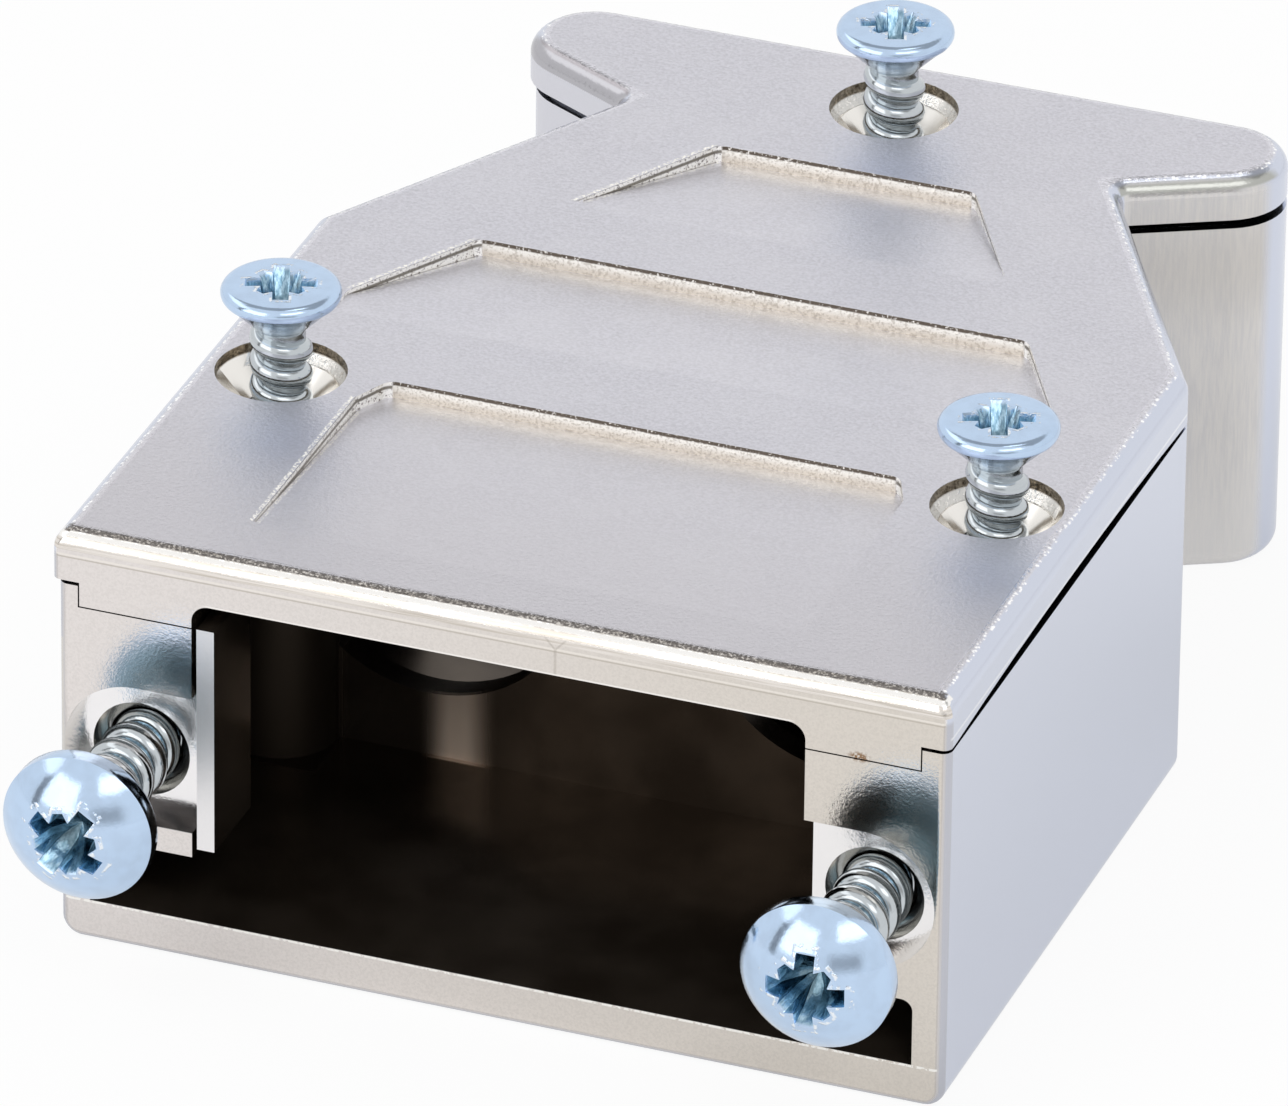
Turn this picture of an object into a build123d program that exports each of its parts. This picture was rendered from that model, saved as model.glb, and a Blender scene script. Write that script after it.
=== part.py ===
"""Two-piece die-cast hood for a nine-way D-subminiature connector, with its five screws.

X runs across the hood, Y from the connector face towards the far edge and Z up. The origin lies
on the underside, below the middle of the cover. All sizes are in millimetres.
"""

import os
from math import cos, radians, sin, tan

from build123d import *

# Outline of the cover, seen from above
hood_width = 30.4
hood_height = 14.9
side_length = 23.1
taper_run = 11.56
taper_angle = 29.0
ear_depth = 5.94
ear_sweep = 28.0
shoulder_radius = 0.6
notch_radius = 0.4
ear_tip_radius = 2.2
front_edge_radius = 0.3
shell_edge_radius = 0.35

# Walls
cover_thickness = 1.75
cover_overhang = 0.1
shell_play = 0.1
side_wall = 1.05
floor_thickness = 1.5
rim_radius = 0.65
foot_radius = 0.7
rim_gap = 0.12
parting_gap = 0.22
parting_bow = 0.3
parting_groove_depth = 0.5

# Locating skirt under the cover
skirt_depth = 1.0
skirt_wall = 0.8
skirt_clearance = 0.2

# Connector opening and the two lugs that carry the connector screws
screw_spacing = 24.99
connector_axis_height = 6.95
opening_width = 20.8
opening_corner_radius = 0.6
lug_drop = 0.9
lug_corner_radius = 0.4
lug_underpass = 2.35
lug_depth = 3.2
upstand_width = 0.8
lip_fit = 0.05
pocket_rise = 0.88
pocket_height = 4.95
pocket_depth = 0.9
pocket_end_wall = 0.29
screw_hole_mouth = 3.34

# Shielding rib beside the left lug
rib_thickness = 0.6
rib_slot = 0.15
rib_web = 0.8
rib_height = 8.1
rib_setback = 0.05

# Posts under the cover screws, and the cross rib with its two cable saddles
side_post_diameter = 3.9
rear_post_diameter = 4.8
cross_rib_y = 12.8
cross_rib_thickness = 1.0
cross_rib_height = 3.9
saddle_offset = 7.2
saddle_radius = 5.0
saddle_sill = 2.3

# Cable outlets through the flanks
outlet_diameter = 6.6
outlet_height = 7.2

# Cover screws, with raised countersunk heads
side_screw_y = 12.55
side_screw_inset = 2.9
rear_screw_inset = 3.54
cover_head_diameter = 3.96
cover_head_rim = 0.18
cover_head_rise = 0.3
cover_thread_diameter = 2.1
cover_thread_root = 1.6
cover_thread_pitch = 0.9
cover_screw_length = 6.5
cover_screw_lift = 3.32
countersink_diameter = 4.34
countersink_land = 0.35
cover_clearance_hole = 2.4

# Connector screws, with pan heads
pan_head_diameter = 5.1
pan_head_height = 2.0
pan_head_rim = 0.7
pan_thread_diameter = 2.5
pan_thread_root = 1.9
pan_thread_pitch = 1.1
pan_screw_length = 8.0
pan_screw_lift = 3.9

# Fits of all five screws
thread_clearance = 0.06
seat_clearance = 0.03
pilot_extra = 0.5
screw_point = 0.8

# Cross recess
recess_span = 2.9
recess_wing = 0.8
recess_core = 1.35
recess_depth = 1.2
recess_taper = 10.0

# Grip ramps sunk into the cover, each deepest at its far wall
ramp_depth = 0.6
ramp_near_depth = 0.03
ramp_corner_radius = 0.5
front_ramp_near = 2.6
front_ramp_far = 13.2
front_ramp_half_width = 9.4
front_ramp_corner = 0.6
front_ramp_corner_run = 1.4
middle_ramp_setback = 6.1
middle_ramp_run = 6.35
rear_ramp_gap = 3.35
rear_ramp_run = 5.75
ramp_flank_margin = 5.5

# Places that follow from the sizes above
hood_length = side_length + taper_run + ear_depth
front_y = -hood_length / 2
back_y = hood_length / 2
half_width = hood_width / 2
taper_slope = tan(radians(taper_angle))
shoulder_y = front_y + side_length
notch_x = half_width - taper_run * taper_slope
notch_y = shoulder_y + taper_run
ear_corner_x = notch_x + ear_depth / tan(radians(ear_sweep))
split_height = hood_height - cover_thickness
shell_half_width = half_width - cover_overhang
cavity_half_width = shell_half_width - side_wall
opening_half_width = opening_width / 2
lip_half_width = shell_half_width - upstand_width
lug_top = split_height - lug_drop
lug_bottom = floor_thickness + lug_underpass
lug_back_y = front_y + lug_depth
pocket_radius = pocket_height / 2
pocket_centre_x = shell_half_width - pocket_end_wall - pocket_radius
pocket_bottom = lug_bottom + pocket_rise
side_screw_x = half_width - side_screw_inset
side_post_y = front_y + side_screw_y
countersink_top = hood_height - countersink_land
head_seat = countersink_top - (countersink_diameter - cover_head_diameter) / 2 + seat_clearance

cover_screws = {
    "cover_screw_left": (-side_screw_x, side_post_y, side_post_diameter),
    "cover_screw_right": (side_screw_x, side_post_y, side_post_diameter),
    "cover_screw_rear": (0.0, back_y - rear_screw_inset, rear_post_diameter),
}
cover_screw_turns = {"cover_screw_left": 20.0, "cover_screw_right": 20.0, "cover_screw_rear": 20.0}
connector_screws = {
    "connector_screw_left": -screw_spacing / 2,
    "connector_screw_right": screw_spacing / 2,
}
connector_screw_turns = {"connector_screw_left": -33.0, "connector_screw_right": 0.0}


def flank_x(y, inset):
    """Half-width of the tapered flank's line at y, moved inwards by inset."""
    return half_width - inset / cos(radians(taper_angle)) - (y - shoulder_y) * taper_slope


def mirrored(points):
    """Points of a closed outline, from those of its right half."""
    return [*points, *[(-x, y) for x, y in reversed(points)]]


def block(x_span, y_span, z_span, mode=Mode.ADD):
    """Box between the given limits."""
    spans = (x_span, y_span, z_span)
    with Locations(tuple((low + high) / 2 for low, high in spans)):
        Box(*(high - low for low, high in spans), mode=mode)


def side_span(side, near, far):
    """Span across the hood on one side of its middle."""
    return sorted((side * near, side * far))


# Plan of the cover, and the plans of the shell and its cavity inside it. The shell lies a little
# to the right under the cover, within the play of the cover screws.
with BuildSketch() as cover_plan:
    with BuildLine():
        Polyline(
            *mirrored(
                [
                    (half_width, front_y),
                    (half_width, shoulder_y),
                    (notch_x, notch_y),
                    (ear_corner_x, back_y),
                ]
            ),
            close=True,
        )
    make_face()
    fillet(cover_plan.vertices().group_by(Axis.Y)[-1], ear_tip_radius)
    fillet(cover_plan.vertices().group_by(Axis.Y)[2], notch_radius)
    fillet(cover_plan.vertices().group_by(Axis.Y)[1], shoulder_radius)

with BuildSketch() as shell_plan:
    with Locations((shell_play, 0)):
        add(cover_plan.sketch)
    offset(amount=-cover_overhang)
    with Locations((shell_play, front_y)):
        Rectangle(2 * shell_half_width, 2 * cover_overhang, align=(Align.CENTER, Align.MIN))

with BuildSketch() as cavity_plan:
    with Locations((shell_play, 0)):
        add(cover_plan.sketch)
    offset(amount=-(cover_overhang + side_wall))
    with Locations((shell_play, front_y - side_wall)):
        Rectangle(
            2 * cavity_half_width,
            2 * (cover_overhang + 2 * side_wall),
            align=(Align.CENTER, Align.MIN),
        )


def flank_plane(side):
    """Plane under the cover's edge on one flank, at the middle of its cable outlet."""
    normal = Vector(side * cos(radians(taper_angle)), sin(radians(taper_angle)), 0)
    middle = Vector(side * (half_width + notch_x) / 2, (shoulder_y + notch_y) / 2, outlet_height)
    return Plane(origin=middle, x_dir=(0, 0, 1), z_dir=normal)


# Base shell: floor, walls, lugs, screw posts and cable outlets
with BuildPart() as base_shell:
    with BuildSketch():
        add(shell_plan.sketch)
    extrude(amount=split_height - rim_gap)
    fillet(base_shell.faces().sort_by(Axis.Z)[0].edges().sort_by(Axis.Y)[1:], foot_radius)
    fillet(base_shell.faces().sort_by(Axis.Y)[0].edges().sort_by(Axis.Z)[:-1], shell_edge_radius)
    with BuildSketch(Plane.XY.offset(floor_thickness)):
        add(cavity_plan.sketch)
    extrude(amount=hood_height, mode=Mode.SUBTRACT)
    for side in (-1, 1):
        block(
            side_span(side, opening_half_width, shell_half_width - side_wall / 2),
            (front_y, lug_back_y),
            (lug_bottom, lug_top),
        )
        underside_edges = (
            base_shell.edges()
            .filter_by(Axis.Y)
            .filter_by_position(Axis.Z, lug_bottom - lip_fit, lug_bottom + lip_fit)
            .sort_by(Axis.X)
        )
        fillet(underside_edges[0 if side < 0 else -1], lug_corner_radius)
        block(
            side_span(side, opening_half_width, lip_half_width),
            (front_y, lug_back_y),
            (lug_top, split_height),
            mode=Mode.SUBTRACT,
        )
        block(
            side_span(side, opening_half_width, pocket_centre_x),
            (front_y, front_y + pocket_depth),
            (pocket_bottom, pocket_bottom + pocket_height),
            mode=Mode.SUBTRACT,
        )
        pocket_centre = (side * pocket_centre_x, front_y, pocket_bottom + pocket_radius)
        with BuildSketch(Plane(origin=pocket_centre, z_dir=(0, -1, 0))):
            Circle(pocket_radius)
        extrude(amount=-pocket_depth, mode=Mode.SUBTRACT)
        with BuildSketch(flank_plane(side)):
            Circle(outlet_diameter / 2)
        extrude(amount=-2 * side_wall, mode=Mode.SUBTRACT)

    # Shielding rib, joined to the left lug by a web at its back
    rib_outer = -opening_half_width + rib_slot
    block(
        (rib_outer, rib_outer + rib_thickness),
        (front_y + rib_setback, lug_back_y),
        (lug_top - rib_height, lug_top),
    )
    block(
        (-opening_half_width, rib_outer),
        (lug_back_y - rib_web, lug_back_y),
        (lug_top - rib_height, lug_top),
    )

    # Cross rib between the side posts
    cross_rib_plane = Plane(
        origin=(0, front_y + cross_rib_y, floor_thickness), x_dir=(1, 0, 0), z_dir=(0, -1, 0)
    )
    with BuildSketch(cross_rib_plane):
        Rectangle(
            2 * shell_half_width - side_wall,
            cross_rib_height,
            align=(Align.CENTER, Align.MIN),
        )
        with Locations(*[(x, saddle_sill + saddle_radius) for x in (-saddle_offset, saddle_offset)]):
            Circle(saddle_radius, mode=Mode.SUBTRACT)
    extrude(amount=-cross_rib_thickness)

    # Screw posts, their pilot holes and the connector screws' holes
    pilot_floor = head_seat - cover_screw_length - pilot_extra
    for x, y, diameter in cover_screws.values():
        with Locations((x, y, floor_thickness)):
            Cylinder(
                diameter / 2,
                split_height - floor_thickness,
                align=(Align.CENTER, Align.CENTER, Align.MIN),
            )
        with Locations((x, y, pilot_floor)):
            Cylinder(
                (cover_thread_diameter + thread_clearance) / 2,
                hood_height,
                align=(Align.CENTER, Align.CENTER, Align.MIN),
                mode=Mode.SUBTRACT,
            )
    for x in connector_screws.values():
        hole_mouth = (x, front_y + pocket_depth, connector_axis_height)
        with Locations(Plane(origin=hole_mouth, z_dir=(0, -1, 0))):
            CounterSinkHole(
                (pan_thread_diameter + thread_clearance) / 2, screw_hole_mouth / 2, depth=lug_depth
            )
base_shell.part.label = "base_shell"


def ramp(outline, near, far):
    """Prism under the outline, whose floor slopes down from its near end to its far wall."""
    with BuildPart() as prism:
        with BuildSketch(Plane.XY.offset(hood_height)) as outline_sketch:
            with BuildLine():
                Polyline(*mirrored(outline), close=True)
            make_face()
            fillet(outline_sketch.vertices(), ramp_corner_radius)
        extrude(amount=-hood_height)
        with BuildSketch(Plane.YZ.offset(-half_width)):
            with BuildLine():
                Polyline(
                    (near, hood_height + ramp_depth),
                    (near, hood_height - ramp_near_depth),
                    (far, hood_height - ramp_depth),
                    (far, hood_height + ramp_depth),
                    close=True,
                )
            make_face()
        extrude(amount=hood_width, mode=Mode.INTERSECT)
    return prism.part


def grip_ramps():
    """The three ramps, from the connector face to the far edge."""
    front_near, front_far = front_y + front_ramp_near, front_y + front_ramp_far
    middle_near = shoulder_y - middle_ramp_setback
    middle_far = middle_near + middle_ramp_run
    rear_near = middle_far + rear_ramp_gap
    rear_far = rear_near + rear_ramp_run
    middle_shoulder = shoulder_y - (side_screw_x + ramp_flank_margin - half_width) / taper_slope
    outlines = [
        [
            (front_ramp_half_width, front_near),
            (front_ramp_half_width, front_far - front_ramp_corner_run),
            (front_ramp_half_width - front_ramp_corner, front_far),
        ],
        [
            (side_screw_x, middle_near),
            (side_screw_x, middle_shoulder),
            (flank_x(middle_far, 0) - ramp_flank_margin, middle_far),
        ],
        [
            (flank_x(rear_near, 0) - ramp_flank_margin, rear_near),
            (flank_x(rear_far, 0) - ramp_flank_margin, rear_far),
        ],
    ]
    spans = [(front_near, front_far), (middle_near, middle_far), (rear_near, rear_far)]
    return [ramp(outline, *span) for outline, span in zip(outlines, spans)]


ramps = grip_ramps()

# Cover: plate, front lips, locating skirt, ramps and countersinks
with BuildPart() as cover:
    with BuildSketch(Plane.XY.offset(split_height)):
        add(cover_plan.sketch)
    extrude(amount=cover_thickness)
    fillet(cover.edges().filter_by(Axis.Z).group_by(Axis.Y)[0], front_edge_radius)
    fillet(cover.faces().sort_by(Axis.Z)[-1].edges(), rim_radius)
    for side in (-1, 1):
        block(
            side_span(side, opening_half_width, lip_half_width - lip_fit),
            (front_y, lug_back_y),
            (lug_top + lip_fit, split_height + lip_fit),
        )
    fillet(
        cover.edges()
        .filter_by(Axis.Y)
        .filter_by_position(Axis.Z, split_height - lip_fit, split_height + lip_fit)
        .filter_by_position(Axis.X, -opening_half_width - lip_fit, opening_half_width + lip_fit),
        opening_corner_radius,
    )

    # Gap under the cover's edge: level round the flanks and ears, bowed along the straight sides
    gap_reach = cover_overhang + parting_groove_depth
    with BuildSketch(Plane.XY.offset(split_height)):
        add(cover_plan.sketch)
        offset(cover_plan.sketch, amount=-gap_reach, mode=Mode.SUBTRACT)
        with Locations((0, front_y)):
            Rectangle(
                hood_width, side_length, align=(Align.CENTER, Align.MIN), mode=Mode.SUBTRACT
            )
    extrude(amount=parting_gap, mode=Mode.SUBTRACT)
    bow_start = (front_y + 2 * front_edge_radius, split_height)
    bow_end = (shoulder_y, split_height)
    bow_top = ((bow_start[0] + shoulder_y) / 2, split_height + parting_bow)
    for side in (-1, 1):
        with BuildSketch(Plane.YZ.offset(side * half_width)):
            with BuildLine():
                ThreePointArc(bow_start, bow_top, bow_end)
                Line(bow_end, bow_start)
            make_face()
        extrude(amount=-side * gap_reach, mode=Mode.SUBTRACT)

    # Skirt that locates the cover between the walls of the base
    skirt_inset = cover_overhang + side_wall + skirt_clearance
    skirt_front = lug_back_y + skirt_clearance
    skirt_back = notch_y - ear_tip_radius
    with BuildSketch(Plane.XY.offset(split_height + lip_fit)):
        for inset, mode in ((skirt_inset, Mode.ADD), (skirt_inset + skirt_wall, Mode.SUBTRACT)):
            bend_y = shoulder_y - inset * (1 / cos(radians(taper_angle)) - 1) / taper_slope
            with BuildLine():
                Polyline(
                    *mirrored(
                        [
                            (half_width - inset, skirt_front),
                            (half_width - inset, bend_y),
                            (flank_x(skirt_back, inset), skirt_back),
                        ]
                    ),
                    close=True,
                )
            make_face(mode=mode)
    extrude(amount=-(skirt_depth + lip_fit))
    for x, y, diameter in cover_screws.values():
        with Locations((x, y, split_height)):
            Cylinder(
                diameter / 2 + skirt_clearance,
                skirt_depth,
                align=(Align.CENTER, Align.CENTER, Align.MAX),
                mode=Mode.SUBTRACT,
            )

    for prism in ramps:
        add(prism, mode=Mode.SUBTRACT)
    for x, y, _ in cover_screws.values():
        with Locations((x, y, countersink_top)):
            CounterSinkHole(cover_clearance_hole / 2, countersink_diameter / 2)
cover.part.label = "cover"


def thread_profile(start, end, root, crest, pitch):
    """Points of a pointed thread, from the head down to the start of the tip."""
    turns = int((start - end) / pitch)
    points = [(root, start)]
    for turn in range(turns):
        top = start - turn * pitch
        points += [(root, top - pitch / 4), (crest, top - pitch / 2), (root, top - 3 * pitch / 4)]
    return points


def screw(seat, turn, head, thread, length, head_height):
    """Screw whose head stands on the seat plane and points along its normal."""
    root, crest, pitch = thread
    profile_plane = Plane(origin=seat.origin, x_dir=seat.x_dir, z_dir=seat.x_dir.cross(seat.z_dir))
    with BuildPart() as body:
        with BuildSketch(profile_plane):
            with BuildLine():
                apex, rim, underside = (0, head_height), head[0], head[1:]
                TangentArc(apex, rim, tangent=(1, 0))
                shank_top = underside[-1][1]
                ridges = thread_profile(shank_top, screw_point - length, root, crest, pitch)
                Polyline(rim, *underside, *ridges[1:], (root, screw_point - length), (0, -length), apex)
            make_face()
        screw_axis = Axis(seat.origin, seat.z_dir)
        revolve(axis=screw_axis)
        top = seat.origin + seat.z_dir * head_height
        wing_dir = seat.x_dir.rotate(Axis((0, 0, 0), seat.z_dir), turn)
        with BuildSketch(Plane(origin=top, x_dir=wing_dir, z_dir=seat.z_dir)):
            Rectangle(recess_span, recess_wing)
            Rectangle(recess_wing, recess_span)
            Rectangle(recess_core, recess_core, rotation=45)
        extrude(amount=-recess_depth, taper=recess_taper, mode=Mode.SUBTRACT)
    return body.part


# Cover screws stand at their photographed lift above the seated place
cone_height = cover_head_diameter / 2 - cover_thread_root / 2
cover_head = [
    (cover_head_diameter / 2, cover_head_rim),
    (cover_head_diameter / 2, 0),
    (cover_thread_root / 2, -cone_height),
]
cover_thread = (cover_thread_root / 2, cover_thread_diameter / 2, cover_thread_pitch)
cover_screw_parts = []
for name, (x, y, _) in cover_screws.items():
    seat = Plane(origin=(x, y, head_seat + cover_screw_lift), x_dir=(1, 0, 0), z_dir=(0, 0, 1))
    body = screw(
        seat,
        cover_screw_turns[name],
        cover_head,
        cover_thread,
        cover_screw_length,
        cover_head_rim + cover_head_rise,
    )
    body.label = name
    cover_screw_parts.append(body)

# Connector screws stand in front of the lugs
pan_head = [
    (pan_head_diameter / 2, pan_head_rim),
    (pan_head_diameter / 2, 0),
    (pan_thread_root / 2, 0),
]
pan_thread = (pan_thread_root / 2, pan_thread_diameter / 2, pan_thread_pitch)
connector_screw_parts = []
for name, x in connector_screws.items():
    head_y = front_y - seat_clearance - pan_screw_lift
    seat = Plane(origin=(x, head_y, connector_axis_height), x_dir=(1, 0, 0), z_dir=(0, -1, 0))
    body = screw(
        seat, connector_screw_turns[name], pan_head, pan_thread, pan_screw_length, pan_head_height
    )
    body.label = name
    connector_screw_parts.append(body)

os.makedirs("parts", exist_ok=True)
for part in [base_shell.part, cover.part, *cover_screw_parts, *connector_screw_parts]:
    export_step(part, f"parts/{part.label}.step")
    print(part.label, "volume", round(part.volume, 2), "valid", part.is_valid)
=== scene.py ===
"""Looks of the die-cast connector hood: its plated castings, its five screws and the studio."""

from collections import namedtuple
from math import cos, pi, radians, sin, tan

import bmesh
import bpy
from mathutils import Matrix, Vector


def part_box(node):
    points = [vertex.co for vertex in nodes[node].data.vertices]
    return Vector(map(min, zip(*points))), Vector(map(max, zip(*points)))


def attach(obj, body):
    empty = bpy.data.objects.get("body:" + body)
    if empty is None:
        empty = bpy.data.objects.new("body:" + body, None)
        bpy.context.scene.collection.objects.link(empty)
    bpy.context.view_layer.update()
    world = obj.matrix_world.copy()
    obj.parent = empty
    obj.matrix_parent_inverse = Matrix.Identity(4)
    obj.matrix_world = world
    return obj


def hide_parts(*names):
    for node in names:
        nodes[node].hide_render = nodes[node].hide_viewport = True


bl_info = {
    "name": "Connector hood",
    "version": (1, 0, 0),
    "blender": (4, 5, 0),
    "location": "View3D > Sidebar > Hood",
    "description": "Plated finishes, detailed screws and a plain studio for a connector hood",
    "category": "Object",
}

MM = 0.001

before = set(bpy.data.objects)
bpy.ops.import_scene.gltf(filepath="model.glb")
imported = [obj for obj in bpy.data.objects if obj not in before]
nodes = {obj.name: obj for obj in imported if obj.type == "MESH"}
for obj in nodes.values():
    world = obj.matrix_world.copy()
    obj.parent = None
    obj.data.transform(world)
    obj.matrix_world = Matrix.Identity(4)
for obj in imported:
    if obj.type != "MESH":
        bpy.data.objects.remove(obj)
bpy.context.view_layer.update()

# Hood, as the frame has it, in millimetres
cover_low, cover_high = (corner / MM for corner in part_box("cover"))
FRONT_Y = cover_low.y
BACK_Y = cover_high.y
TOP_Z = cover_high.z

# Shape of the castings, in millimetres. Each ramp has its near and far end
HALF_WIDTH = 15.2
SHOULDER_Y = 2.8
NOTCH_X = 8.79
NOTCH_Y = 14.36
TAPER_ANGLE = radians(29.0)
EAR_ANGLE = radians(28.0)
RIM_RADIUS = 0.65
COVER_THICKNESS = 1.75
OPENING_HALF_WIDTH = 10.4
LUG_UNDERSIDE = 3.85
POCKET_DEPTH = 0.9
FLOOR_TOP = 1.5
COUNTERSINK_RADIUS = 2.17
RAMP_DEPTH = 0.6
RAMP_INSET = 4.81
RAMP_HALF_WIDTH = 9.4
RAMPS = ((-17.4, -8.5), (-1.7, 3.0), (6.7, 12.1))
EAR_TIP_PLACE = (11.14, 18.1, 0.0)
EAR_TIP_RADIUS = 2.2
FAR_AWAY = 100.0

# Places where the plating differs, and where light and shade are painted, in millimetres
PARTING_Z = TOP_Z - COVER_THICKNESS
LUG_TOP = 11.0
SIDE_POSTS_X = 10.2
SIDE_POSTS_Y = (-10.0, -5.5)
# Painted reflection: a pale band of light on the cross rib
RIB_LIGHT_BAND_X = (-7.0, -5.4)
RIB_LIGHT_BAND_Y = (-7.7, -7.3)
# Heights of a thin darker line and of a painted highlight line above the mouth
DARK_LINE_Z = (13.99, 14.04)
LINE_HIGHLIGHT_Z = (14.06, 14.13)
FLOW_X, FLOW_Z = 1.97, 14.08
STAIN_PLACE = (6.1, FRONT_Y, 12.35)

COVER_SCREWS = {
    "left_cover_screw": "cover_screw_left",
    "right_cover_screw": "cover_screw_right",
    "rear_cover_screw": "cover_screw_rear",
}
CONNECTOR_SCREWS = {
    "left_connector_screw": "connector_screw_left",
    "right_connector_screw": "connector_screw_right",
}
COVER_SCREW_TURN = radians(20.0)
CONNECTOR_SCREW_TURNS = {"left_connector_screw": radians(-33.0), "right_connector_screw": 0.0}

# Sizes of the screws, in millimetres. Each recess has its depth, span, wing, core and lobe
COVER_HEAD_HEIGHT = 0.48
COVER_SCREW_ROOT = 0.8
COVER_RECESS = (1.3, 1.24, 0.28, 0.66, 0.82)
PAN_HEAD_HEIGHT = 1.94
PAN_HEAD_RIM = 0.7
CONNECTOR_SCREW_ROOT = 0.95
CONNECTOR_RECESS = (1.75, 1.5, 0.34, 0.8, 0.99)
SCREW_POINT = 0.8
THREAD_BITE = 0.03
THREAD_END = 0.9
COVER_THREAD_START, COVER_RIDGE_WIDTH = 1.3, 0.34
CONNECTOR_THREAD_START, CONNECTOR_RIDGE_WIDTH = 0.3, 0.42
ZINC_FINISH = "bright_blue_zinc"


class Wire:
    """A socket of a shader tree. Plain arithmetic on it adds Math nodes."""

    def __init__(self, shader, socket):
        self.shader = shader
        self.socket = socket

    def _math(self, operation, *values):
        inputs = dict(enumerate(values))
        return self.shader.node("ShaderNodeMath", {"operation": operation}, inputs)

    def __add__(self, other):
        return self._math("ADD", self, other)

    def __radd__(self, other):
        return self._math("ADD", other, self)

    def __sub__(self, other):
        return self._math("SUBTRACT", self, other)

    def __rsub__(self, other):
        return self._math("SUBTRACT", other, self)

    def __mul__(self, other):
        return self._math("MULTIPLY", self, other)

    def __rmul__(self, other):
        return self._math("MULTIPLY", other, self)

    def __neg__(self):
        return self._math("MULTIPLY", self, -1.0)

    def __abs__(self):
        return self._math("ABSOLUTE", self)

    def least(self, other):
        return self._math("MINIMUM", self, other)

    def most(self, other):
        return self._math("MAXIMUM", self, other)


class Shader:
    """The node tree of a material or of the world, built from values and wires."""

    def __init__(self, owner):
        self.owner = owner
        owner.use_nodes = True
        self.tree = owner.node_tree
        self.tree.nodes.clear()

    def node(self, kind, settings=None, inputs=None, output=0):
        """Adds a node: its settings first, then the values or wires of its sockets."""
        made = self.tree.nodes.new(kind)
        for name, value in (settings or {}).items():
            if name == "stops":
                self._set_stops(made.color_ramp, value)
            else:
                setattr(made, name, value)
        for key, value in (inputs or {}).items():
            if isinstance(value, Wire):
                self.tree.links.new(value.socket, made.inputs[key])
            else:
                made.inputs[key].default_value = value
        return Wire(self, made.outputs[output])

    @staticmethod
    def _set_stops(ramp, stops):
        while len(ramp.elements) < len(stops):
            ramp.elements.new(0.5)
        for element, (place, colour) in zip(ramp.elements, stops):
            element.position = place
            element.color = (*colour, 1.0)

    def step(self, value, low, high):
        """Smooth step from 0 at low to 1 at high."""
        inputs = {"Value": value, "From Min": low, "From Max": high, "To Min": 0.0, "To Max": 1.0}
        return self.node("ShaderNodeMapRange", {"interpolation_type": "SMOOTHSTEP"}, inputs)

    def fade(self, value, low, high):
        """Smooth step from 1 at low to 0 at high."""
        return 1 - self.step(value, low, high)

    def band(self, value, low, high, soft):
        """1 between low and high, with soft borders."""
        return self.step(value, low - soft, low + soft) * self.fade(value, high - soft, high + soft)

    def mix(self, mask, first, second):
        """Colour that goes from first to second as the mask goes from 0 to 1."""
        inputs = {0: mask}
        for key, value in ((6, first), (7, second)):
            inputs[key] = value if isinstance(value, Wire) else (*value, 1.0)
        return self.node("ShaderNodeMix", {"data_type": "RGBA"}, inputs, output=2)

    def blend(self, mask, first, second):
        """Number that goes from first to second as the mask goes from 0 to 1."""
        return self.node("ShaderNodeMix", {"data_type": "FLOAT"}, {0: mask, 2: first, 3: second})

    def place(self):
        """Object coordinates in millimetres, and their three parts."""
        metres = self.node("ShaderNodeTexCoord", output=3)
        scaled = self.node("ShaderNodeVectorMath", {"operation": "SCALE"}, {0: metres, 3: 1 / MM})
        return scaled, *self.parts(scaled)

    def facing(self):
        """The three parts of the surface's own direction."""
        return self.parts(self.node("ShaderNodeTexCoord", output=1))

    def parts(self, vector):
        split = self.node("ShaderNodeSeparateXYZ", None, {0: vector})
        return tuple(Wire(self, split.socket.node.outputs[axis]) for axis in range(3))

    def stretched(self, vector, scale):
        return self.node("ShaderNodeVectorMath", {"operation": "MULTIPLY"}, {0: vector, 1: scale})

    def distance(self, vector, place):
        return self.node("ShaderNodeVectorMath", {"operation": "DISTANCE"}, {0: vector, 1: place}, output=1)

    def noise(self, vector, scale, detail=2.0, roughness=0.5):
        inputs = {"Vector": vector, "Scale": scale, "Detail": detail, "Roughness": roughness}
        return self.node("ShaderNodeTexNoise", None, inputs)

    def specks(self, vector, scale, size):
        """Round specks of the given size, in cells, around scattered points."""
        distance = self.node("ShaderNodeTexVoronoi", None, {"Vector": vector, "Scale": scale})
        return self.fade(distance, size * 0.5, size)

    def finish(self, inputs, height, depth):
        """Ends the tree in one metal surface with a relief of the given depth in millimetres."""
        inputs["Normal"] = self.node(
            "ShaderNodeBump", None, {"Strength": 1.0, "Distance": depth * MM, "Height": height}
        )
        surface = self.node("ShaderNodeBsdfPrincipled", None, inputs)
        return self.end("ShaderNodeOutputMaterial", surface)

    def end(self, kind, surface):
        output = self.tree.nodes.new(kind)
        self.tree.links.new(surface.socket, output.inputs["Surface"])
        return self.owner


def linear(red, green, blue):
    """Linear colour of a display colour from 0 to 255."""
    return tuple(((c / 255 + 0.055) / 1.055) ** 2.4 for c in (red, green, blue))


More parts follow.
